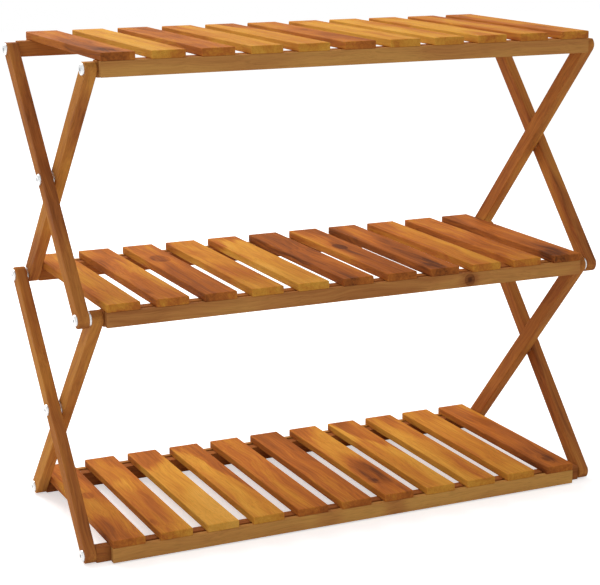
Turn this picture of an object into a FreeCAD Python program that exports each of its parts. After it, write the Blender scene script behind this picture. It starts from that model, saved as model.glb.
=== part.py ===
import FreeCAD, Part
import Sketcher
import os

doc = FreeCAD.newDocument("FoldingShelf")
sheet = doc.addObject("Spreadsheet::Sheet", "Sizes")

sizes = [
    # slatted shelf
    ("shelf_width", 675.0),
    ("shelf_depth", 304.0),
    ("slat_count", 11),
    ("slat_width", 43.0),
    ("slat_thickness", 10.0),
    ("slat_ease", 1.2),
    ("batten_thickness", 7.5),
    ("batten_height", 19.0),
    ("batten_ease", 0.8),
    # crossbars that carry the shelves
    ("tier_pitch", 300.0),
    ("bar_depth", 14.0),
    ("bar_height", 20.0),
    ("bar_ease", 1.0),
    ("bar_setback", 5.0),
    ("bar_end_clearance", 0.3),
    ("seat_clearance", 0.2),
    # crossed legs
    ("leg_width", 21.0),
    ("leg_thickness", 14.5),
    ("leg_ease", 1.2),
    ("leg_gap", 2.5),
    ("shelf_side_clearance", 1.0),
    ("leg_trim_share", 0.39),
    # pivot bolts and washers
    ("bolt_diameter", 6.0),
    ("running_clearance", 0.08),
    ("head_diameter", 15.0),
    ("head_height", 3.4),
    ("head_round", 2.6),
    ("socket_corner_diameter", 4.6),
    ("socket_depth", 1.9),
    ("bar_engagement", 30.0),
    ("cross_engagement", 11.0),
    ("bore_relief", 1.0),
    ("washer_diameter", 18.0),
    # slat screws
    ("screw_diameter", 3.0),
    ("screw_head_diameter", 5.4),
    ("screw_head_height", 2.0),
    ("screw_sink", 3.0),
    ("screw_engagement", 6.5),
    ("screw_clearance", 0.1),
]
for row, (alias, size) in enumerate(sizes, start=1):
    sheet.set("A%d" % row, alias)
    sheet.set("B%d" % row, str(size))
    sheet.setAlias("B%d" % row, alias)
doc.recompute()


def named(text):
    """Turn plain size names in a formula into references to the sheet."""
    words = []
    for word in text.replace("(", " ( ").replace(")", " ) ").split():
        words.append("Sizes." + word if any(word == alias for alias, size in sizes) else word)
    return " ".join(words)


def measure(text):
    """Work a formula out as a number."""
    return float(doc.getObject("Sizes").evalExpression(named(text)))


# where things lie, worked out from the sizes
slat_pitch = "( ( shelf_width - slat_width ) / ( slat_count - 1 ) )"
pivot_reach = "( shelf_depth / 2 - batten_thickness - bar_setback - bar_depth / 2 )"
pivot_span = "( 2 * %s )" % pivot_reach
batten_reach = "( shelf_depth / 2 - batten_thickness / 2 )"
inner_leg_face = "( shelf_width / 2 + shelf_side_clearance )"
outer_leg_face = "( %s + leg_thickness + leg_gap )" % inner_leg_face
short_bar = "( 2 * ( %s - bar_end_clearance ) )" % inner_leg_face
long_bar = "( 2 * ( %s - bar_end_clearance ) )" % outer_leg_face
slat_level = "( bar_height + seat_clearance )"
trim_reach = "( tier_pitch / 2 + leg_trim_share * leg_width )"
bolt_bore = "( bolt_diameter / 2 + running_clearance )"
screw_bore = "( screw_diameter / 2 + screw_clearance )"
screw_counterbore = "( screw_head_diameter / 2 + screw_clearance )"
one_leg_grip = "( leg_thickness + bar_end_clearance + bar_engagement )"
two_leg_grip = "( 2 * leg_thickness + leg_gap + bar_end_clearance + bar_engagement )"
cross_grip = "( leg_thickness + leg_gap + cross_engagement )"
tiers = ("bottom", "middle", "top")
sub_parts = []


def tier_level(tier):
    return "( %d * tier_pitch )" % tier


def pivot_level(tier):
    return "( %s + bar_height / 2 )" % tier_level(tier)


def new_body(label):
    body = doc.addObject("PartDesign::Body", label)
    body.Label = label
    sub_parts.append(body)
    return body


def place(thing, x, y, z):
    for axis, text in (("x", x), ("y", y), ("z", z)):
        thing.setExpression("Placement.Base." + axis, named(text))


def new_sketch(body, role, name, lift=None):
    sketch = body.newObject("Sketcher::SketchObject", body.Label + "_" + name)
    plane = [feature for feature in body.Origin.OriginFeatures if feature.Role == role][0]
    sketch.AttachmentSupport = (plane, [""])
    sketch.MapMode = "FlatFace"
    if lift is not None:
        sketch.setExpression("AttachmentOffset.Base.z", named(lift))
    return sketch


def hold(sketch, kind, ends, text, name):
    """Add a sized constraint and bind it to the sheet."""
    index = sketch.addConstraint(Sketcher.Constraint(kind, *ends, measure(text)))
    sketch.renameConstraint(index, name)
    sketch.setExpression("Constraints." + name, named(text))


def hold_point(sketch, ends, across, up, name):
    """Hold a point at signed distances from the sketch's origin."""
    for kind, text, tag in (("DistanceX", across, "across"), ("DistanceY", up, "up")):
        size = measure(text)
        if size == 0:
            line = -2 if kind == "DistanceX" else -1
            sketch.addConstraint(Sketcher.Constraint("PointOnObject", *ends, line))
        elif size > 0:
            hold(sketch, kind, (-1, 1, *ends), text, name + "_" + tag)
        else:
            hold(sketch, kind, (*ends, -1, 1), "( - %s )" % text, name + "_" + tag)


def draw_rectangle(sketch, width, height):
    """Draw a rectangle that is centred on the sketch's origin."""
    half_width = measure(width) / 2
    half_height = measure(height) / 2
    corners = [FreeCAD.Vector(sx * half_width, sy * half_height, 0)
               for sx, sy in ((-1, -1), (1, -1), (1, 1), (-1, 1))]
    for i in range(4):
        sketch.addGeometry(Part.LineSegment(corners[i], corners[(i + 1) % 4]))
    for i in range(4):
        sketch.addConstraint(Sketcher.Constraint("Coincident", i, 2, (i + 1) % 4, 1))
        sketch.addConstraint(Sketcher.Constraint("Horizontal" if i % 2 == 0 else "Vertical", i))
    sketch.addConstraint(Sketcher.Constraint("Symmetric", 0, 1, 2, 1, -1, 1))
    hold(sketch, "DistanceX", (0, 1, 0, 2), width, "width")
    hold(sketch, "DistanceY", (1, 1, 1, 2), height, "height")


def draw_circles(sketch, radius, places):
    """Draw equal circles at the given places."""
    for i, (across, up) in enumerate(places):
        centre = FreeCAD.Vector(measure(across), measure(up), 0)
        circle = Part.Circle(centre, FreeCAD.Vector(0, 0, 1), measure(radius))
        geo = sketch.addGeometry(circle)
        hold_point(sketch, (geo, 3), across, up, "place%d" % i)
        if i == 0:
            hold(sketch, "Radius", (geo,), radius, "radius")
        else:
            sketch.addConstraint(Sketcher.Constraint("Equal", 0, geo))


def draw_leg_outline(sketch, slope):
    """Draw a straight leg with round ends about its two end pivots."""
    span = measure(pivot_span) * slope
    pitch = measure("tier_pitch")
    radius = measure("leg_width") / 2
    low = FreeCAD.Vector(-span / 2, -pitch / 2, 0)
    high = -low
    along = (high - low).normalize()
    side = FreeCAD.Vector(-along.y, along.x, 0) * radius
    near_arc = Part.Arc(low + side, low - along * radius, low - side)
    far_arc = Part.Arc(high - side, high + along * radius, high + side)
    first = sketch.addGeometry(near_arc)
    second = sketch.addGeometry(Part.LineSegment(low - side, high - side))
    third = sketch.addGeometry(far_arc)
    fourth = sketch.addGeometry(Part.LineSegment(high + side, low + side))
    loop = ((first, low - side), (second, high - side), (third, high + side), (fourth, low + side))
    for i, (geo, point) in enumerate(loop):
        following = loop[(i + 1) % 4][0]
        here = 1 if sketch.getPoint(geo, 1).distanceToPoint(point) < radius / 2 else 2
        there = 1 if sketch.getPoint(following, 1).distanceToPoint(point) < radius / 2 else 2
        sketch.addConstraint(Sketcher.Constraint("Tangent", geo, here, following, there))
    sketch.addConstraint(Sketcher.Constraint("Equal", first, third))
    sketch.addConstraint(Sketcher.Constraint("Symmetric", first, 3, third, 3, -1, 1))
    hold(sketch, "Radius", (first,), "( leg_width / 2 )", "end_radius")
    hold(sketch, "DistanceY", (first, 3, third, 3), "tier_pitch", "pitch")
    order = (first, 3, third, 3) if slope > 0 else (third, 3, first, 3)
    hold(sketch, "DistanceX", order, pivot_span, "span")


def draw_trim(sketch, side):
    """Draw the waste beyond a level cut across the leg's top or foot."""
    near = measure(trim_reach) * side
    far = near + measure("leg_width") * side
    half_width = (measure(pivot_span) + 2 * measure("leg_width")) / 2
    corners = [FreeCAD.Vector(sx * half_width, z, 0)
               for sx, z in ((-1, near), (1, near), (1, far), (-1, far))]
    for i in range(4):
        sketch.addGeometry(Part.LineSegment(corners[i], corners[(i + 1) % 4]))
    for i in range(4):
        sketch.addConstraint(Sketcher.Constraint("Coincident", i, 2, (i + 1) % 4, 1))
    sketch.addConstraint(Sketcher.Constraint("Symmetric", 0, 1, 0, 2, -2))
    sketch.addConstraint(Sketcher.Constraint("Vertical", 1))
    sketch.addConstraint(Sketcher.Constraint("Horizontal", 2))
    sketch.addConstraint(Sketcher.Constraint("Vertical", 3))
    hold(sketch, "DistanceX", (0, 1, 0, 2), "( %s + 2 * leg_width )" % pivot_span, "reach")
    rise = (-1, 1, 0, 1) if side > 0 else (0, 1, -1, 1)
    hold(sketch, "DistanceY", rise, trim_reach, "rise")
    waste = (1, 1, 1, 2) if side > 0 else (1, 2, 1, 1)
    hold(sketch, "DistanceY", waste, "leg_width", "waste")


def pad(body, sketch, length):
    feature = body.newObject("PartDesign::Pad", body.Label + "_pad")
    feature.Profile = (sketch, [""])
    feature.setExpression("Length", named(length))
    return feature


def pocket(body, sketch, name, depth=None, onward=True):
    """Cut along the sketch's normal, or against it, to a depth or right through."""
    feature = body.newObject("PartDesign::Pocket", body.Label + "_" + name)
    feature.Profile = (sketch, [""])
    feature.Reversed = onward
    if depth is None:
        feature.Type = "ThroughAll"
    else:
        feature.Type = "Length"
        feature.setExpression("Length", named(depth))
    return feature


def ease(body, base, radius, wanted=None):
    """Round the edges of a piece, all of them or those that are wanted."""
    names = ["Edge%d" % (i + 1) for i, edge in enumerate(base.Shape.Edges)
             if wanted is None or wanted(edge)]
    feature = body.newObject("PartDesign::Fillet", body.Label + "_ease")
    feature.Base = (base, names)
    feature.setExpression("Radius", named(radius))
    return feature


# plain blanks: slats and battens
shelves = []
for tier, tier_name in enumerate(tiers):
    level = "( %s + %s )" % (tier_level(tier), slat_level)
    slats = []
    for i in range(int(measure("slat_count"))):
        body = new_body("%s_slat_%02d" % (tier_name, i + 1))
        outline = new_sketch(body, "XY_Plane", "outline")
        draw_rectangle(outline, "slat_width", "shelf_depth")
        blank = pad(body, outline, "slat_thickness")
        across = "( %d * %s - ( shelf_width - slat_width ) / 2 )" % (i, slat_pitch)
        place(body, across, "0", level)
        slats.append((body, blank, across))
    battens = []
    for side, side_name in ((-1, "front"), (1, "back")):
        body = new_body("%s_%s_batten" % (tier_name, side_name))
        outline = new_sketch(body, "XY_Plane", "outline")
        draw_rectangle(outline, "shelf_width", "batten_thickness")
        blank = pad(body, outline, "batten_height")
        place(body, "0", "( %d * %s )" % (side, batten_reach), "( %s - batten_height )" % level)
        battens.append((body, blank))
    shelves.append((slats, battens))

# crossbars: those held by outer legs are longer
bars = []
for tier, tier_name in enumerate(tiers):
    for side, side_name in ((-1, "front"), (1, "back")):
        reaches_outer = (tier == 0 and side < 0) or (tier == 2 and side > 0)
        length = long_bar if reaches_outer else short_bar
        body = new_body("%s_%s_bar" % (tier_name, side_name))
        outline = new_sketch(body, "YZ_Plane", "outline")
        draw_rectangle(outline, "bar_depth", "bar_height")
        blank = pad(body, outline, length)
        place(body, "( - %s / 2 )" % length, "( %d * %s )" % (side, pivot_reach), pivot_level(tier))
        bars.append((body, blank, length))

# legs: outer ones rise to the back, inner ones rise to the front
legs = []
for stage, stage_name in enumerate(("lower", "upper")):
    for layer, slope, face in (("outer", 1, outer_leg_face), ("inner", -1, inner_leg_face)):
        for hand, hand_name in ((-1, "left"), (1, "right")):
            body = new_body("%s_%s_leg_%s" % (stage_name, layer, hand_name))
            outline = new_sketch(body, "YZ_Plane", "outline")
            draw_leg_outline(outline, slope)
            blank = pad(body, outline, "leg_thickness")
            start = face if hand > 0 else "( - %s - leg_thickness )" % face
            place(body, start, "0", "( %s + tier_pitch / 2 )" % pivot_level(stage))
            legs.append((body, blank, stage, layer, slope, hand))
doc.recompute()

# eased edges
for slats, battens in shelves:
    for body, blank, across in slats:
        ease(body, blank, "slat_ease")
    for body, blank in battens:
        ease(body, blank, "batten_ease")
for body, blank, length in bars:
    ease(body, blank, "bar_ease")


def on_leg_side(edge):
    low = edge.BoundBox.XMin
    high = edge.BoundBox.XMax
    return high - low < measure("leg_thickness") / 2


for body, blank, stage, layer, slope, hand in legs:
    ease(body, blank, "leg_ease", on_leg_side)
doc.recompute()

# level cuts under the feet and over the top ends
for body, blank, stage, layer, slope, hand in legs:
    waste = new_sketch(body, "YZ_Plane", "waste")
    draw_trim(waste, -1 if stage == 0 else 1)
    pocket(body, waste, "trim")

# screw holes in slats and battens
for slats, battens in shelves:
    for body, blank, across in slats:
        holes = new_sketch(body, "XY_Plane", "holes")
        draw_circles(holes, screw_bore, [("0", "( - %s )" % batten_reach), ("0", batten_reach)])
        pocket(body, holes, "screw_holes", "( screw_engagement + bore_relief )")
    for body, blank in battens:
        spots = [(across, "0") for slat, slat_blank, across in slats]
        holes = new_sketch(body, "XY_Plane", "holes")
        draw_circles(holes, screw_bore, spots)
        pocket(body, holes, "screw_holes")
        sinks = new_sketch(body, "XY_Plane", "sinks")
        draw_circles(sinks, screw_counterbore, spots)
        pocket(body, sinks, "screw_sinks", "( screw_sink + screw_head_height )")

# bolt bores in the ends of the crossbars
for body, blank, length in bars:
    for end_name, lift, onward in (("left", "0", True), ("right", length, False)):
        bore = new_sketch(body, "YZ_Plane", end_name + "_bore", lift)
        draw_circles(bore, bolt_bore, [("0", "0")])
        pocket(body, bore, end_name + "_bolt_bore", "( bar_engagement + bore_relief )", onward)

# pivot holes in the legs: the crossing bolt stops inside the inner leg
for body, blank, stage, layer, slope, hand in legs:
    low = ("( - %d * %s )" % (slope, pivot_reach), "( - tier_pitch / 2 )")
    high = ("( %d * %s )" % (slope, pivot_reach), "( tier_pitch / 2 )")
    spots = [low, high] + ([("0", "0")] if layer == "outer" else [])
    holes = new_sketch(body, "YZ_Plane", "holes")
    draw_circles(holes, bolt_bore, spots)
    pocket(body, holes, "pivot_holes")
    if layer == "inner":
        crossing = new_sketch(body, "YZ_Plane", "crossing", "0" if hand < 0 else "leg_thickness")
        draw_circles(crossing, bolt_bore, [("0", "0")])
        pocket(body, crossing, "crossing_hole", "( cross_engagement + bore_relief )", hand < 0)
doc.recompute()


# turns of the fasteners, whose patterns lie along X or stand on Z
facing_left = FreeCAD.Rotation(FreeCAD.Vector(0, 0, 1), 180)
facing_right = FreeCAD.Rotation()
along_x = FreeCAD.Rotation(FreeCAD.Vector(0, 1, 0), 90)
upward = FreeCAD.Rotation(FreeCAD.Vector(0, 1, 0), -90)


def turned_profile(body, points):
    """Revolve an outline of named points about the sketch's level axis."""
    sketch = new_sketch(body, "XZ_Plane", "profile")
    places = [FreeCAD.Vector(measure(across), measure(up), 0) for across, up in points]
    count = len(places)
    for i in range(count):
        sketch.addGeometry(Part.LineSegment(places[i], places[(i + 1) % count]))
    for i in range(count):
        sketch.addConstraint(Sketcher.Constraint("Coincident", i, 2, (i + 1) % count, 1))
    for i, (across, up) in enumerate(points):
        hold_point(sketch, (i, 1), across, up, "point%d" % i)
    feature = body.newObject("PartDesign::Revolution", body.Label + "_turned")
    feature.Profile = (sketch, [""])
    feature.ReferenceAxis = (sketch, ["H_Axis"])
    return feature


def seed_body(name):
    """A pattern piece that the groups of fasteners are copied from."""
    body = doc.addObject("PartDesign::Body", name)
    body.Label = name
    return body


def bolt_seed(name, grip):
    """A round headed bolt: head outward along X, its underside at the origin."""
    body = seed_body(name)
    tip = "( - %s )" % grip
    turned = turned_profile(body, [
        (tip, "0"), (tip, "( bolt_diameter / 2 )"), ("0", "( bolt_diameter / 2 )"),
        ("0", "( head_diameter / 2 )"), ("head_height", "( head_diameter / 2 )"), ("head_height", "0")])
    doc.recompute()

    def rim(edge):
        box = edge.BoundBox
        return box.XMin > measure("head_height") / 2 and box.ZLength > measure("bolt_diameter")

    ease(body, turned, "head_round", rim)
    socket = doc.addObject("Part::Prism", name + "_socket")
    socket.Polygon = 6
    socket.setExpression("Circumradius", named("( socket_corner_diameter / 2 )"))
    socket.setExpression("Height", named("( socket_depth + head_height )"))
    socket.Placement = FreeCAD.Placement(FreeCAD.Vector(0, 0, 0), along_x)
    socket.setExpression("Placement.Base.x", named("( head_height - socket_depth )"))
    cut = doc.addObject("Part::Cut", name + "_with_socket")
    cut.Base = body
    cut.Tool = socket
    return cut


def screw_seed(name):
    """A slat screw: its head's underside at the origin, its point upward along Z."""
    body = seed_body(name)
    grip = "( batten_height - screw_sink - screw_head_height + screw_engagement )"
    turned_profile(body, [
        ("( - screw_head_height )", "0"), ("( - screw_head_height )", "( screw_head_diameter / 2 )"),
        ("0", "( screw_head_diameter / 2 )"), ("0", "( screw_diameter / 2 )"),
        ("( %s - screw_diameter )" % grip, "( screw_diameter / 2 )"), (grip, "0")])
    return body


def washer_seed(name):
    """A flat washer as thick as the gap between two legs, with its axis along X."""
    disc = doc.addObject("Part::Cylinder", name + "_disc")
    disc.setExpression("Radius", named("( washer_diameter / 2 )"))
    disc.setExpression("Height", named("leg_gap"))
    bore = doc.addObject("Part::Cylinder", name + "_bore")
    bore.setExpression("Radius", named(bolt_bore))
    bore.setExpression("Height", named("leg_gap"))
    ring = doc.addObject("Part::Cut", name)
    ring.Base = disc
    ring.Tool = bore
    return ring


one_leg_bolt = bolt_seed("one_leg_bolt", one_leg_grip)
two_leg_bolt = bolt_seed("two_leg_bolt", two_leg_grip)
crossing_bolt = bolt_seed("crossing_bolt", cross_grip)
slat_screw = screw_seed("slat_screw")
leg_washer = washer_seed("leg_washer")
doc.recompute()


def copies(seed, places):
    """Copy a pattern piece to each place, as (x, y, z, turn)."""
    shapes = []
    for x, y, z, turn in places:
        shape = seed.Shape.copy()
        spot = FreeCAD.Vector(measure(x), measure(y), measure(z))
        shape.Placement = FreeCAD.Placement(spot, turn).multiply(shape.Placement)
        shapes.append(shape)
    return shapes


def group(label, shapes):
    """Join loose copies in one sub-part, each still a solid of its own."""
    feature = doc.addObject("Part::Feature", label)
    feature.Label = label
    feature.Shape = Part.makeCompound(shapes)
    sub_parts.append(feature)


def at_both_ends(seed, face, side, level):
    """Bolts whose heads bear on a leg's outward face, at both ends of the shelf."""
    reach = "( %s + leg_thickness )" % face
    across = "( %d * %s )" % (side, pivot_reach)
    return copies(seed, [(reach, across, level, facing_right),
                         ("( - %s )" % reach, across, level, facing_left)])


def washers(side, level):
    reach = "( %s - leg_gap )" % outer_leg_face
    across = "( %d * %s )" % (side, pivot_reach)
    return copies(leg_washer, [(reach, across, level, along_x),
                               ("( - %s )" % outer_leg_face, across, level, along_x)])


front, middle, back = -1, 0, 1
lower_cross = "( %s + tier_pitch / 2 )" % pivot_level(0)
upper_cross = "( %s + tier_pitch / 2 )" % pivot_level(1)
group("lower_outer_bolts",
      at_both_ends(one_leg_bolt, outer_leg_face, front, pivot_level(0))
      + at_both_ends(two_leg_bolt, outer_leg_face, back, pivot_level(1))
      + washers(back, pivot_level(1)))
group("lower_inner_bolts",
      at_both_ends(one_leg_bolt, inner_leg_face, back, pivot_level(0))
      + at_both_ends(two_leg_bolt, outer_leg_face, front, pivot_level(1))
      + at_both_ends(crossing_bolt, outer_leg_face, middle, lower_cross)
      + washers(front, pivot_level(1)) + washers(middle, lower_cross))
group("upper_inner_bolts",
      at_both_ends(one_leg_bolt, inner_leg_face, front, pivot_level(2))
      + at_both_ends(crossing_bolt, outer_leg_face, middle, upper_cross)
      + washers(middle, upper_cross))
group("upper_outer_bolts",
      at_both_ends(one_leg_bolt, outer_leg_face, back, pivot_level(2)))
for tier, (slats, battens) in enumerate(shelves):
    seat = "( %s + %s - batten_height + screw_sink + screw_head_height )" % (tier_level(tier), slat_level)
    places = [(across, "( %d * %s )" % (side, batten_reach), seat, upward)
              for side in (front, back) for slat, blank, across in slats]
    group(tiers[tier] + "_slat_screws", copies(slat_screw, places))
doc.recompute()

# every object has to be sound before anything is written
for thing in doc.Objects:
    if "Invalid" in thing.State or "Error" in thing.State:
        raise RuntimeError("not recomputed: " + thing.Label)
for thing in sub_parts:
    if thing.Shape.isNull() or not thing.Shape.isValid():
        raise RuntimeError("unsound shape: " + thing.Label)
for slats, battens in shelves:
    for body, blank, across in slats:
        if not body.Shape.Volume < blank.Shape.Volume:
            raise RuntimeError("holes cut nothing: " + body.Label)

os.makedirs("parts", exist_ok=True)
for thing in sub_parts:
    thing.Shape.exportStep("parts/%s.step" % thing.Label)
print("wrote", len(sub_parts), "sub-parts")
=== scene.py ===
import math

import bmesh
import bpy
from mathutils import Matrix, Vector


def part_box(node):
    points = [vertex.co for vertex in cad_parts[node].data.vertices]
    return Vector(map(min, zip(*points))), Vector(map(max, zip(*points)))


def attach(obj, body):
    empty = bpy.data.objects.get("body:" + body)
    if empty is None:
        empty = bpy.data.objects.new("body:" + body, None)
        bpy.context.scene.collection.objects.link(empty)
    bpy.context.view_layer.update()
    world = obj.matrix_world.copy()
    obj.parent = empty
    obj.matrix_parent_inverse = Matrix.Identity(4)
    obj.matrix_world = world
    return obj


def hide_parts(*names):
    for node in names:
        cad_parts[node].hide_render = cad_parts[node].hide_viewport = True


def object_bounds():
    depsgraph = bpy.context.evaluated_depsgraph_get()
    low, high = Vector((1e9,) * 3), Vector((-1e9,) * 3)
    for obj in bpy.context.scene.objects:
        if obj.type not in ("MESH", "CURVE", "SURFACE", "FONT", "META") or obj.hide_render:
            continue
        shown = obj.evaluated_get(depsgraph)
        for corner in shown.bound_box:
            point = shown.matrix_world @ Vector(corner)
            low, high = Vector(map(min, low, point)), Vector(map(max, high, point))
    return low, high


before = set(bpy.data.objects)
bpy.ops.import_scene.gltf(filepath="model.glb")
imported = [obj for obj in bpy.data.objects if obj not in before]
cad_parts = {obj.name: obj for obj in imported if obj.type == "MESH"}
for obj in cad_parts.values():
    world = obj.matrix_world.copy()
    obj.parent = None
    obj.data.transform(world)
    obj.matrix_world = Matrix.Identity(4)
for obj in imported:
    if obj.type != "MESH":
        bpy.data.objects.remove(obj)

cadLow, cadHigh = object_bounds()

shelfNames = ("bottom", "middle", "top")

# Oiled wood: colours from the palest to the darkest grain, and how the grain is drawn
acacia = {
    "slatGrain": ((0.87, 0.455, 0.085), (0.78, 0.375, 0.056), (0.67, 0.268, 0.040),
                  (0.55, 0.172, 0.033), (0.38, 0.112, 0.025), (0.16, 0.050, 0.017)),
    "battenGrain": ((0.72, 0.42, 0.12), (0.66, 0.355, 0.094), (0.57, 0.277, 0.076),
                    (0.48, 0.206, 0.060), (0.36, 0.131, 0.039), (0.19, 0.062, 0.020)),
    "legGrain": ((0.76, 0.41, 0.10), (0.70, 0.345, 0.074), (0.60, 0.262, 0.056),
                 (0.50, 0.194, 0.046), (0.38, 0.128, 0.035), (0.18, 0.057, 0.020)),
    "grainStops": (-0.3, 0.0, 0.28, 0.52, 0.78, 1.0),  # depth of each of the six colours
    "knotHeart": (0.085, 0.026, 0.012),
    # size, length against width, and detail of each layer of the grain
    "patches": (17.0, 4.2, 1.5), "bands": (48.0, 18.0, 2.5),
    "streaks": (230.0, 60.0, 3.0), "fibres": (1100.0, 50.0, 2.0),
    "layerRoughness": 0.55,
    "wander": 7.0, "sway": (0.022, 0.0, 0.022),
    # how far each layer moves the depth, and where the broad layers stop darkening
    "heartwoodShare": 0.28, "bandShare": 0.8, "streakShare": 0.55, "growthShare": 0.05,
    "broadLimit": 0.82,
    "heartwoodRim": (0.43, 0.57), "growthLines": 64.0,
    "blushRim": (-0.014, 0.020), "blushTongues": (0.16, 0.05),
    # where parts of a knot begin to fade and where they end, as shares of its reach
    "plugRim": (0.88, 1.08), "glowRim": (0.5, 2.4), "heartRim": (0.20, 0.62),
    "knotRagged": (0.5, 0.3), "knotBend": 0.3,
    "poreRim": (0.30, 0.52), "facingRim": (0.75, 0.97),
    # the last share is painted shade, darkening the slats' long sides as if less light fell there
    "poreShade": 0.80, "endShade": 0.84, "paintedSideShade": 0.86,
    "roughness": 0.64, "roughnessSwing": 0.07, "sheen": 0.02,
    "fibreDepth": 0.00012, "relief": 0.35,
}


class NodeBench:
    # small helper around the nodes of one material or world
    def __init__(self, owner):
        self.owner = owner
        owner.use_nodes = True
        self.tree = owner.node_tree
        self.tree.nodes.clear()

    def add(self, kind, links=None, values=None, **settings):
        node = self.tree.nodes.new(kind)
        for key, value in settings.items():
            setattr(node, key, value)
        for key, value in (values or {}).items():
            node.inputs[key].default_value = value
        for key, source in (links or {}).items():
            self.tree.links.new(source, node.inputs[key])
        return node

    def math(self, operation, first, second=None):
        node = self.tree.nodes.new("ShaderNodeMath")
        node.operation = operation
        for i, item in enumerate((first, second)):
            if item is None:
                continue
            if isinstance(item, (int, float)):
                node.inputs[i].default_value = item
            else:
                self.tree.links.new(item, node.inputs[i])
        return node.outputs[0]

    def centre(self, source, gain):
        # noise swings about its middle, made larger or smaller
        return self.math("MULTIPLY", self.math("SUBTRACT", source, 0.5), gain)

    def span(self, source, low, high, atLow, atHigh, curve="LINEAR"):
        values = {"From Min": low, "From Max": high, "To Min": atLow, "To Max": atHigh}
        node = self.add("ShaderNodeMapRange", {"Value": source}, values, interpolation_type=curve)
        return node.outputs[0]

    def ramp(self, source, stops):
        node = self.add("ShaderNodeValToRGB", {"Fac": source})
        points = node.color_ramp.elements
        while len(points) < len(stops):
            points.new(0.5)
        for point, (place, colour) in zip(points, stops):
            point.position = place
            point.color = (*colour, 1.0)
        return node.outputs["Color"]

    def vector(self, operation, first, second):
        # the second item is a fixed vector or another node's output
        if isinstance(second, tuple):
            node = self.add("ShaderNodeVectorMath", {0: first}, {1: second}, operation=operation)
        else:
            node = self.add("ShaderNodeVectorMath", {0: first, 1: second}, operation=operation)
        return node.outputs[0]

    def noise(self, place, scale, stretch, detail):
        # noise that is drawn out along the grain, which runs along Y here
        scaled = self.vector("MULTIPLY", place, (scale, scale / stretch, scale))
        values = {"Scale": 1.0, "Detail": detail, "Roughness": acacia["layerRoughness"]}
        return self.add("ShaderNodeTexNoise", {"Vector": scaled}, values).outputs["Fac"]

    def carried(self, name, output="Fac"):
        # a value that the mesh carries from point to point
        return self.add("ShaderNodeAttribute", attribute_name=name).outputs[output]

    def coat(self, colour, gloss, relief, **values):
        links = {"Base Color": colour, "Roughness": gloss, "Normal": relief}
        shader = self.add("ShaderNodeBsdfPrincipled", links, values)
        self.add("ShaderNodeOutputMaterial", {"Surface": shader.outputs[0]})
        return self.owner


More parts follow.
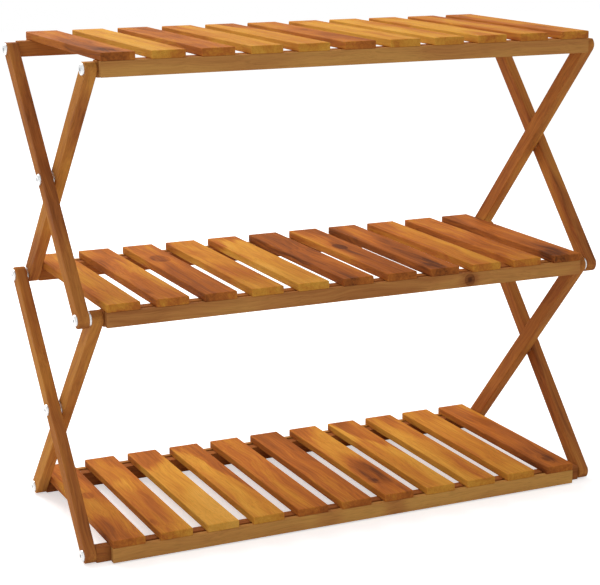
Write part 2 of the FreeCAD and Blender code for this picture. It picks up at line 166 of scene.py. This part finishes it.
def acaciaWood(name, grainColours, grainTurn=(0.0, 0.0, 0.0), shift=(0.0, 0.0, 0.0),
               tone=None, figure=1.0, knots=()):
    bench = NodeBench(bpy.data.materials.new(name))
    place = bench.add("ShaderNodeTexCoord").outputs
    turned = bench.add("ShaderNodeMapping", {"Vector": place["Object"]},
                       {"Location": shift, "Rotation": grainTurn}, vector_type="POINT")
    grain = turned.outputs["Vector"]
    fromSlat = tone is None
    if fromSlat:
        grain = bench.vector("ADD", grain, bench.carried("grainShift", "Vector"))  # its own place in the tree

    # the grain wanders a little from side to side
    wander = bench.add("ShaderNodeTexNoise", {"Vector": grain}, {"Scale": acacia["wander"], "Detail": 2.0})
    centred = bench.vector("SUBTRACT", wander.outputs["Color"], (0.5, 0.5, 0.5))
    grain = bench.vector("ADD", grain, bench.vector("MULTIPLY", centred, acacia["sway"]))
    patches, bands, streaks, fibres = (bench.noise(grain, *acacia[layer])
                                       for layer in ("patches", "bands", "streaks", "fibres"))

    if fromSlat:
        # each slat carries its own tone, and grows redder behind a border that runs out in tongues
        broadTongue, fineTongue = acacia["blushTongues"]
        border = bench.math("ADD", bench.carried("blushEdge"), bench.centre(bands, broadTongue))
        border = bench.math("ADD", border, bench.centre(streaks, fineTongue))
        blush = bench.span(border, *acacia["blushRim"], 0.0, 1.0, "SMOOTHSTEP")
        blush = bench.math("MULTIPLY", bench.carried("blushDepth"), blush)
        tone = bench.math("ADD", bench.carried("slatTone"), blush)

    # each knot is a ragged oval: a dark heart, a plug with a crisp rim and a glow that fades into the grain
    glow = heart = None
    broadRag, fineRag = acacia["knotRagged"]
    ragged = bench.math("ADD", bench.centre(bands, broadRag), bench.centre(streaks, fineRag))
    for x, y, z, across, along, plugDepth, glowDepth, heartShare in knots:
        offset = bench.vector("SUBTRACT", place["Object"], (x, y, z))
        scaled = bench.vector("MULTIPLY", offset, (1 / across, 1 / along, 1 / across))
        reach = bench.add("ShaderNodeVectorMath", {0: scaled}, operation="LENGTH").outputs["Value"]
        reach = bench.math("ADD", reach, ragged)
        plug = bench.span(reach, *acacia["plugRim"], plugDepth, 0.0, "SMOOTHSTEP")
        ownGlow = bench.span(reach, *acacia["glowRim"], glowDepth, 0.0, "SMOOTHSTEP")
        ownGlow = bench.math("MAXIMUM", plug, ownGlow)
        ownHeart = bench.span(reach, *acacia["heartRim"], heartShare, 0.0, "SMOOTHSTEP")
        glow = ownGlow if glow is None else bench.math("MAXIMUM", glow, ownGlow)
        heart = ownHeart if heart is None else bench.math("MAXIMUM", heart, ownHeart)

    # contour lines of the drawn-out noise give the arched growth lines, which close up round the knots
    level = bands
    if glow is not None:
        level = bench.math("ADD", bands, bench.math("MULTIPLY", glow, acacia["knotBend"]))
    growth = bench.math("SINE", bench.math("MULTIPLY", level, acacia["growthLines"]))

    # redder heartwood meets golden sapwood along a drawn-out border
    heartwood = bench.span(patches, *acacia["heartwoodRim"], 0.0, 1.0, "SMOOTHSTEP")
    depth = bench.math("ADD", bench.centre(heartwood, acacia["heartwoodShare"] * figure), tone)
    depth = bench.math("ADD", depth, bench.centre(bands, acacia["bandShare"] * figure))
    depth = bench.math("MINIMUM", depth, acacia["broadLimit"])
    depth = bench.math("ADD", depth, bench.centre(streaks, acacia["streakShare"] * figure))
    depth = bench.math("ADD", depth, bench.math("MULTIPLY", growth, acacia["growthShare"] * figure))
    if glow is not None:
        depth = bench.math("ADD", depth, glow)
    first, last = acacia["grainStops"][0], acacia["grainStops"][-1]
    shares = [(stop - first) / (last - first) for stop in acacia["grainStops"]]
    colour = bench.ramp(bench.span(depth, first, last, 0.0, 1.0), list(zip(shares, grainColours)))
    if heart is not None:
        colour = bench.add("ShaderNodeMix", {"Factor": heart, 6: colour}, {7: (*acacia["knotHeart"], 1.0)},
                           data_type="RGBA").outputs[2]

    # darker pores along the grain, end grain that drank more oil, and painted shade on the long sides of the
    # slats
    facing = bench.add("ShaderNodeMapping", {"Vector": place["Normal"]}, {"Rotation": grainTurn},
                       vector_type="NORMAL")
    facing = bench.add("ShaderNodeSeparateXYZ", {"Vector": facing.outputs["Vector"]}).outputs
    rim = acacia["facingRim"]
    pores = bench.span(fibres, *acacia["poreRim"], acacia["poreShade"], 1.0)
    endGrain = bench.span(bench.math("ABSOLUTE", facing["Y"]), *rim, 1.0, acacia["endShade"])
    shade = bench.math("MULTIPLY", pores, endGrain)
    if fromSlat:
        # painted shade: the slats' long sides are made darker to stand in for less light falling on them
        paintedSideDarkening = bench.span(bench.math("ABSOLUTE", facing["X"]), *rim, 1.0, acacia["paintedSideShade"])
        shade = bench.math("MULTIPLY", shade, paintedSideDarkening)
    colour = bench.vector("MULTIPLY", colour, shade)

    rough, swing = acacia["roughness"], acacia["roughnessSwing"]
    gloss = bench.span(streaks, 0.3, 0.7, rough + swing, rough - swing)
    height = bench.math("ADD", fibres, bench.math("MULTIPLY", streaks, 0.6))
    relief = bench.add("ShaderNodeBump", {"Height": height},
                       {"Strength": acacia["relief"], "Distance": acacia["fibreDepth"]})
    return bench.coat(colour, gloss, relief.outputs[0], **{"Specular IOR Level": acacia["sheen"]})


# Zinc plate: two greys in broad clouds, and a fine unevenness
zincFinish = {
    "greys": ((0.3, (0.64, 0.65, 0.66)), (0.7, (0.78, 0.78, 0.77))),
    "cloudSize": 160.0, "grainSize": 900.0,
    "roughness": (0.22, 0.36),
    "relief": 0.12, "reliefDepth": 0.0001,
}


def zincPlate(name):
    bench = NodeBench(bpy.data.materials.new(name))
    place = bench.add("ShaderNodeTexCoord").outputs["Object"]
    fine = bench.add("ShaderNodeTexNoise", {"Vector": place},
                     {"Scale": zincFinish["grainSize"], "Detail": 3.0})
    broad = bench.add("ShaderNodeTexNoise", {"Vector": place},
                      {"Scale": zincFinish["cloudSize"], "Detail": 2.0})
    colour = bench.ramp(broad.outputs["Fac"], zincFinish["greys"])
    gloss = bench.span(fine.outputs["Fac"], 0.3, 0.7, *zincFinish["roughness"])
    relief = bench.add("ShaderNodeBump", {"Height": fine.outputs["Fac"]},
                       {"Strength": zincFinish["relief"], "Distance": zincFinish["reliefDepth"]})
    return bench.coat(colour, gloss, relief.outputs[0], Metallic=1.0)


def dress(node, material):
    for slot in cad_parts[node].material_slots:
        slot.material = material


# Slats: one board laid out along each shelf
slats = {
    "edgeRound": 0.0013, "edgeSteps": 3,
    "grainReach": 4.0,  # how far apart in the tree two slats may lie
    "seeds": {"bottom": 11, "middle": 23, "top": 5},
    # 0 is pale and golden, 1 is dark and reddish; a little below 0 is palest
    "tones": {
        "bottom": (0.42, 0.25, -0.08, 0.02, 0.57, 0.54, 0.28, 0.16, 0.26, 0.18, 0.52),
        "middle": (0.40, 0.44, 0.56, 0.32, 0.00, 0.73, 0.57, 0.71, 0.30, 0.51, 0.66),
        "top": (0.64, 0.26, 0.60, 0.14, 0.12, 0.60, 0.22, 0.20, 0.28, 0.38, 0.50),
    },
    # for each slat: where the redder wood begins, how that border leans, and how much redder it is
    "blush": {
        "bottom": ((0.06, 0.0, 0.14), (0.04, 0.0, 0.24), (0.095, -1.2, 0.52), (0.050, 4.2, 0.46),
                   (0.20, 0.0, 0.0), (0.10, -2.0, 0.06), (0.13, 0.0, 0.16), (0.065, 4.2, 0.48),
                   (0.11, 0.0, 0.12), (0.09, 0.0, 0.10), (0.20, 0.0, 0.0)),
        "middle": ((0.10, 0.0, 0.10), (0.06, 0.0, 0.16), (0.20, 0.0, 0.0), (0.12, 1.0, 0.12),
                   (0.105, 0.0, 0.52), (0.02, -3.0, 0.10), (0.10, 0.0, 0.12), (0.12, 0.0, 0.10),
                   (0.11, 0.0, 0.10), (0.06, 0.0, 0.12), (0.10, 0.0, 0.10)),
        "top": ((0.12, 0.0, 0.10), (0.20, 0.0, 0.0), (0.12, 3.0, 0.16), (0.10, 0.0, 0.14),
                (0.10, 4.0, 0.42), (0.20, 0.0, 0.0), (0.12, 0.0, 0.20), (0.12, 0.0, 0.10),
                (0.11, 0.0, 0.10), (0.06, 0.0, 0.14), (0.12, 0.0, 0.10)),
    },
    # x and y, reach across and along the grain, then how dark are the plug, the glow round it and the heart
    "knots": {
        "bottom": ((-0.315, 0.014, 0.008, 0.012, 0.30, 0.10, 0.0),
                   (-0.330, -0.108, 0.012, 0.030, 0.0, 0.40, 0.0),
                   (-0.269, -0.110, 0.004, 0.009, 0.30, 0.16, 0.0),
                   (-0.252, -0.050, 0.015, 0.040, 0.0, 0.16, 0.0),
                   (0.056, -0.094, 0.0095, 0.015, 0.52, 0.34, 0.7),
                   (0.063, -0.066, 0.012, 0.040, 0.0, 0.62, 0.0),
                   (0.060, -0.140, 0.020, 0.030, 0.0, 0.30, 0.0),
                   (0.313, -0.121, 0.009, 0.020, 0.48, 0.38, 0.6),
                   (0.302, -0.120, 0.016, 0.036, 0.0, 0.34, 0.0)),
        "middle": ((-0.192, 0.059, 0.0125, 0.021, 0.34, 0.06, 0.0),
                   (0.060, 0.024, 0.0095, 0.018, 0.34, 0.08, 0.0),
                   (-0.330, -0.085, 0.012, 0.030, 0.0, 0.26, 0.0),
                   (-0.270, -0.108, 0.004, 0.009, 0.26, 0.14, 0.0),
                   (0.130, -0.106, 0.005, 0.024, 0.24, 0.16, 0.3),
                   (0.114, -0.132, 0.014, 0.012, 0.0, 0.20, 0.0),
                   (0.235, -0.112, 0.005, 0.010, 0.20, 0.16, 0.0),
                   (0.319, -0.106, 0.005, 0.026, 0.24, 0.18, 0.3),
                   (0.302, -0.134, 0.013, 0.013, 0.0, 0.20, 0.0)),
        "top": ((-0.316, -0.112, 0.008, 0.018, 0.26, 0.20, 0.1),
                (0.000, 0.024, 0.009, 0.018, 0.24, 0.16, 0.0),
                (0.312, -0.078, 0.009, 0.030, 0.24, 0.26, 0.2)),
    },
}


def roundedBoard(name, size, edgeRound, steps):
    mesh = bpy.data.meshes.new(name)
    shape = bmesh.new()
    bmesh.ops.create_cube(shape, size=1.0)
    bmesh.ops.scale(shape, vec=size, verts=shape.verts)
    bmesh.ops.bevel(shape, geom=shape.edges[:], offset=edgeRound, segments=steps,
                    profile=0.5, affect="EDGES", clamp_overlap=True)
    bmesh.ops.recalc_face_normals(shape, faces=shape.faces)
    for face in shape.faces:
        face.smooth = max(abs(part) for part in face.normal) < 0.999  # the six flat sides stay flat
    shape.to_mesh(mesh)
    shape.free()
    return bpy.data.objects.new(name, mesh)


def slatRowTree():
    tree = bpy.data.node_groups.new("slatRow", "GeometryNodeTree")
    tree.interface.new_socket("Geometry", in_out="OUTPUT", socket_type="NodeSocketGeometry")
    wanted = {"Board": "Object", "Count": "Int", "Start": "Vector", "Step": "Vector",
              "Seed": "Int", "Finish": "Material"}
    for name, kind in wanted.items():
        tree.interface.new_socket(name, in_out="INPUT", socket_type="NodeSocket" + kind)
    nodes, link = tree.nodes, tree.links.new
    given = nodes.new("NodeGroupInput")
    line = nodes.new("GeometryNodeMeshLine")
    line.mode = "OFFSET"
    link(given.outputs["Count"], line.inputs["Count"])
    link(given.outputs["Start"], line.inputs["Start Location"])
    link(given.outputs["Step"], line.inputs["Offset"])
    board = nodes.new("GeometryNodeObjectInfo")
    board.inputs["As Instance"].default_value = True
    link(given.outputs["Board"], board.inputs["Object"])
    laid = nodes.new("GeometryNodeInstanceOnPoints")
    link(line.outputs["Mesh"], laid.inputs["Points"])
    link(board.outputs["Geometry"], laid.inputs["Instance"])
    number = nodes.new("GeometryNodeStoreNamedAttribute")
    number.data_type, number.domain = "INT", "INSTANCE"
    number.inputs["Name"].default_value = "slatNumber"
    link(laid.outputs["Instances"], number.inputs["Geometry"])
    link(nodes.new("GeometryNodeInputIndex").outputs[0], number.inputs["Value"])
    drawn = nodes.new("FunctionNodeRandomValue")
    drawn.data_type = "FLOAT_VECTOR"
    drawn.inputs["Min"].default_value = [-slats["grainReach"]] * 3
    drawn.inputs["Max"].default_value = [slats["grainReach"]] * 3
    link(given.outputs["Seed"], drawn.inputs["Seed"])
    shift = nodes.new("GeometryNodeStoreNamedAttribute")
    shift.data_type, shift.domain = "FLOAT_VECTOR", "INSTANCE"
    shift.inputs["Name"].default_value = "grainShift"
    link(number.outputs["Geometry"], shift.inputs["Geometry"])
    link(drawn.outputs["Value"], shift.inputs["Value"])
    real = nodes.new("GeometryNodeRealizeInstances")
    link(shift.outputs["Geometry"], real.inputs["Geometry"])
    finish = nodes.new("GeometryNodeSetMaterial")
    link(real.outputs["Geometry"], finish.inputs["Geometry"])
    link(given.outputs["Finish"], finish.inputs["Material"])
    link(finish.outputs["Geometry"], nodes.new("NodeGroupOutput").inputs["Geometry"])
    return tree


def growMesh(name, tree, values):
    builder = bpy.data.objects.new(name + "Builder", bpy.data.meshes.new(name + "Builder"))
    bpy.context.scene.collection.objects.link(builder)
    modifier = builder.modifiers.new("row", "NODES")
    modifier.node_group = tree
    for item in tree.interface.items_tree:
        if item.in_out == "INPUT":
            modifier[item.identifier] = values[item.name]
    bpy.context.view_layer.update()
    grown = builder.evaluated_get(bpy.context.evaluated_depsgraph_get())
    mesh = bpy.data.meshes.new_from_object(grown)
    mesh.name = name
    bpy.data.objects.remove(builder)
    piece = bpy.data.objects.new(name, mesh)
    bpy.context.scene.collection.objects.link(piece)
    return piece


slatTree = slatRowTree()
for shelf in shelfNames:
    row = ["%s_slat_%02d" % (shelf, i + 1) for i in range(len(slats["tones"][shelf]))]
    low, high = (Vector(corner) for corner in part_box(row[0]))
    step = (Vector(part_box(row[-1])[0]) - low) / (len(row) - 1)
    board = roundedBoard(shelf + "Board", high - low, slats["edgeRound"], slats["edgeSteps"])
    knots = [(x, y, high.z, *rest) for x, y, *rest in slats["knots"][shelf]]
    wood = acaciaWood(shelf + "SlatWood", acacia["slatGrain"], knots=knots)
    piece = growMesh(shelf + "Slats", slatTree, {
        "Board": board, "Count": len(row), "Start": (low + high) / 2, "Step": step,
        "Seed": slats["seeds"][shelf], "Finish": wood})
    bpy.data.objects.remove(board)
    numbers = [item.value for item in piece.data.attributes["slatNumber"].data]
    blushes = [slats["blush"][shelf][number] for number in numbers]
    middles = [(low.x + high.x) / 2 + step.x * number for number in numbers]
    perPoint = {
        "slatTone": [slats["tones"][shelf][number] for number in numbers],
        "blushEdge": [point.co.y - begin + lean * (point.co.x - middle)
                      for point, (begin, lean, much), middle in zip(piece.data.vertices, blushes, middles)],
        "blushDepth": [much for begin, lean, much in blushes],
    }
    for label, values in perPoint.items():
        piece.data.attributes.new(label, "FLOAT", "POINT").data.foreach_set("value", values)
    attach(piece, shelf + "_shelf")
    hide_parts(*row)
print("slats laid on", len(shelfNames), "shelves")

# Battens, crossbars and legs keep their solids and get wood of their own
legLow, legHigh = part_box("lower_outer_leg_left")
legRise = math.atan2(legHigh[2] - legLow[2], legHigh[1] - legLow[1])
alongX = (0.0, 0.0, math.radians(90))
alongOuterLeg = (-legRise, 0.0, 0.0)
alongInnerLeg = (legRise - math.pi, 0.0, 0.0)
frameWood = {
    # tone of each piece, then how lively its figure is
    "bottom_front_batten": (0.25, 0.6), "middle_front_batten": (0.54, 0.8), "top_front_batten": (0.36, 0.6),
    "bottom_back_batten": (0.45, 0.6), "middle_back_batten": (0.40, 0.6), "top_back_batten": (0.40, 0.6),
    "bottom_front_bar": (0.84, 0.5), "bottom_back_bar": (0.80, 0.6), "middle_front_bar": (0.62, 0.6),
    "middle_back_bar": (0.80, 0.6), "top_front_bar": (0.66, 0.6), "top_back_bar": (0.62, 0.6),
    "lower_outer_leg_left": (0.60, 0.9), "lower_inner_leg_left": (0.50, 1.0),
    "upper_outer_leg_left": (0.70, 0.8), "upper_inner_leg_left": (0.54, 1.1),
    "lower_outer_leg_right": (0.72, 0.8), "lower_inner_leg_right": (0.56, 0.8),
    "upper_outer_leg_right": (0.60, 1.0), "upper_inner_leg_right": (0.48, 1.1),
}
# x and height on the batten, then as for the slats
battenKnots = {
    "middle_front_batten": ((0.164, 0.0095, 0.0086, 0.0086, 0.50, 0.32, 0.8),),
    "bottom_front_batten": ((0.058, 0.008, 0.010, 0.010, 0.0, 0.36, 0.0),
                            (-0.040, 0.011, 0.012, 0.012, 0.0, 0.28, 0.0)),
}
for number, (node, (tone, figure)) in enumerate(frameWood.items()):
    if "leg" in node:
        turn = alongOuterLeg if "outer" in node else alongInnerLeg
    else:
        turn = alongX
    colours = acacia["battenGrain"] if "batten" in node else acacia["legGrain"]
    front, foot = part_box(node)[0][1:]
    knots = [(x, front, foot + height, *rest) for x, height, *rest in battenKnots.get(node, ())]
    shift = (0.37 * number, 0.61 * number, 0.23 * number)  # no two pieces share their grain
    dress(node, acaciaWood(node + "Wood", colours, turn, shift, tone, figure, knots))
print("frame wood on", len(frameWood), "pieces")

# Bolts, washers and screws
zinc = zincPlate("zincPlate")
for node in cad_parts:
    if node.endswith("_bolts") or node.endswith("_screws"):
        dress(node, zinc)
print("zinc on the hardware")

# Floor, light and camera
studio = {
    "floorSize": 14.0, "floorDrop": 0.0005,
    "floorColour": (0.90, 0.90, 0.90), "floorGlow": 0.56,
    "worldLight": 0.56,
    "keyPower": 57.0, "keySize": 2.2, "keyPlace": (-0.65, 1.92, 2.0),
    "fillPower": 5.0, "fillSize": 2.4, "fillPlace": (-1.3, -2.5, 1.3),
    "aim": (0.0, 0.0, 0.32),
}


def seenDirectly(bench):
    # 1 for rays that show the background as it is: straight, mirrored or through glass
    path = bench.add("ShaderNodeLightPath")
    seen = bench.math("MAXIMUM", path.outputs["Is Camera Ray"], path.outputs["Is Glossy Ray"])
    return bench.math("MAXIMUM", seen, path.outputs["Is Transmission Ray"])


def paleFloor():
    bench = NodeBench(bpy.data.materials.new("paleFloor"))
    matt = bench.add("ShaderNodeBsdfDiffuse", values={"Color": (*studio["floorColour"], 1.0)})
    strength = bench.math("MULTIPLY", seenDirectly(bench), studio["floorGlow"])
    glow = bench.add("ShaderNodeEmission", {"Strength": strength})
    both = bench.add("ShaderNodeAddShader", {0: matt.outputs[0], 1: glow.outputs[0]})
    bench.add("ShaderNodeOutputMaterial", {"Surface": both.outputs[0]})
    mesh = bpy.data.meshes.new("floor")
    half = studio["floorSize"] / 2
    height = cadLow.z - studio["floorDrop"]
    corners = [(-half, -half, height), (half, -half, height), (half, half, height), (-half, half, height)]
    mesh.from_pydata(corners, [], [(0, 1, 2, 3)])
    mesh.materials.append(bench.owner)
    floor = bpy.data.objects.new("floor", mesh)
    bpy.context.scene.collection.objects.link(floor)


def softWorld():
    bench = NodeBench(bpy.data.worlds.new("studio"))
    strength = bench.span(seenDirectly(bench), 0.0, 1.0, studio["worldLight"], 1.0)
    sky = bench.add("ShaderNodeBackground", {"Strength": strength}, {"Color": (1.0, 1.0, 1.0, 1.0)})
    bench.add("ShaderNodeOutputWorld", {"Surface": sky.outputs[0]})
    bpy.context.scene.world = bench.owner


def softLamp(name, place, size, power):
    light = bpy.data.lights.new(name, "AREA")
    light.shape, light.size, light.energy = "DISK", size, power
    lamp = bpy.data.objects.new(name, light)
    lamp.location = place
    lamp.rotation_euler = (Vector(studio["aim"]) - Vector(place)).to_track_quat("-Z", "Y").to_euler()
    bpy.context.scene.collection.objects.link(lamp)


paleFloor()
softWorld()
softLamp("keyLamp", studio["keyPlace"], studio["keySize"], studio["keyPower"])
softLamp("fillLamp", studio["fillPlace"], studio["fillSize"], studio["fillPower"])

shot = {
    "place": (-0.969, -2.038, 0.8312),
    "lens": 102.6, "sensorWidth": 36.0,
    "lookDown": math.radians(12.80),
    "lookRight": math.radians(25.16),
    "shiftY": -0.05,
}
camera = bpy.data.cameras.new("shot")
camera.sensor_fit, camera.sensor_width = "HORIZONTAL", shot["sensorWidth"]
camera.lens, camera.shift_y = shot["lens"], shot["shiftY"]
viewer = bpy.data.objects.new("shot", camera)
viewer.location = shot["place"]
viewer.rotation_euler = (math.radians(90) - shot["lookDown"], 0.0, -shot["lookRight"])
bpy.context.scene.collection.objects.link(viewer)
bpy.context.scene.camera = viewer
bpy.context.scene.view_settings.view_transform = "Standard"
print("studio and camera set")
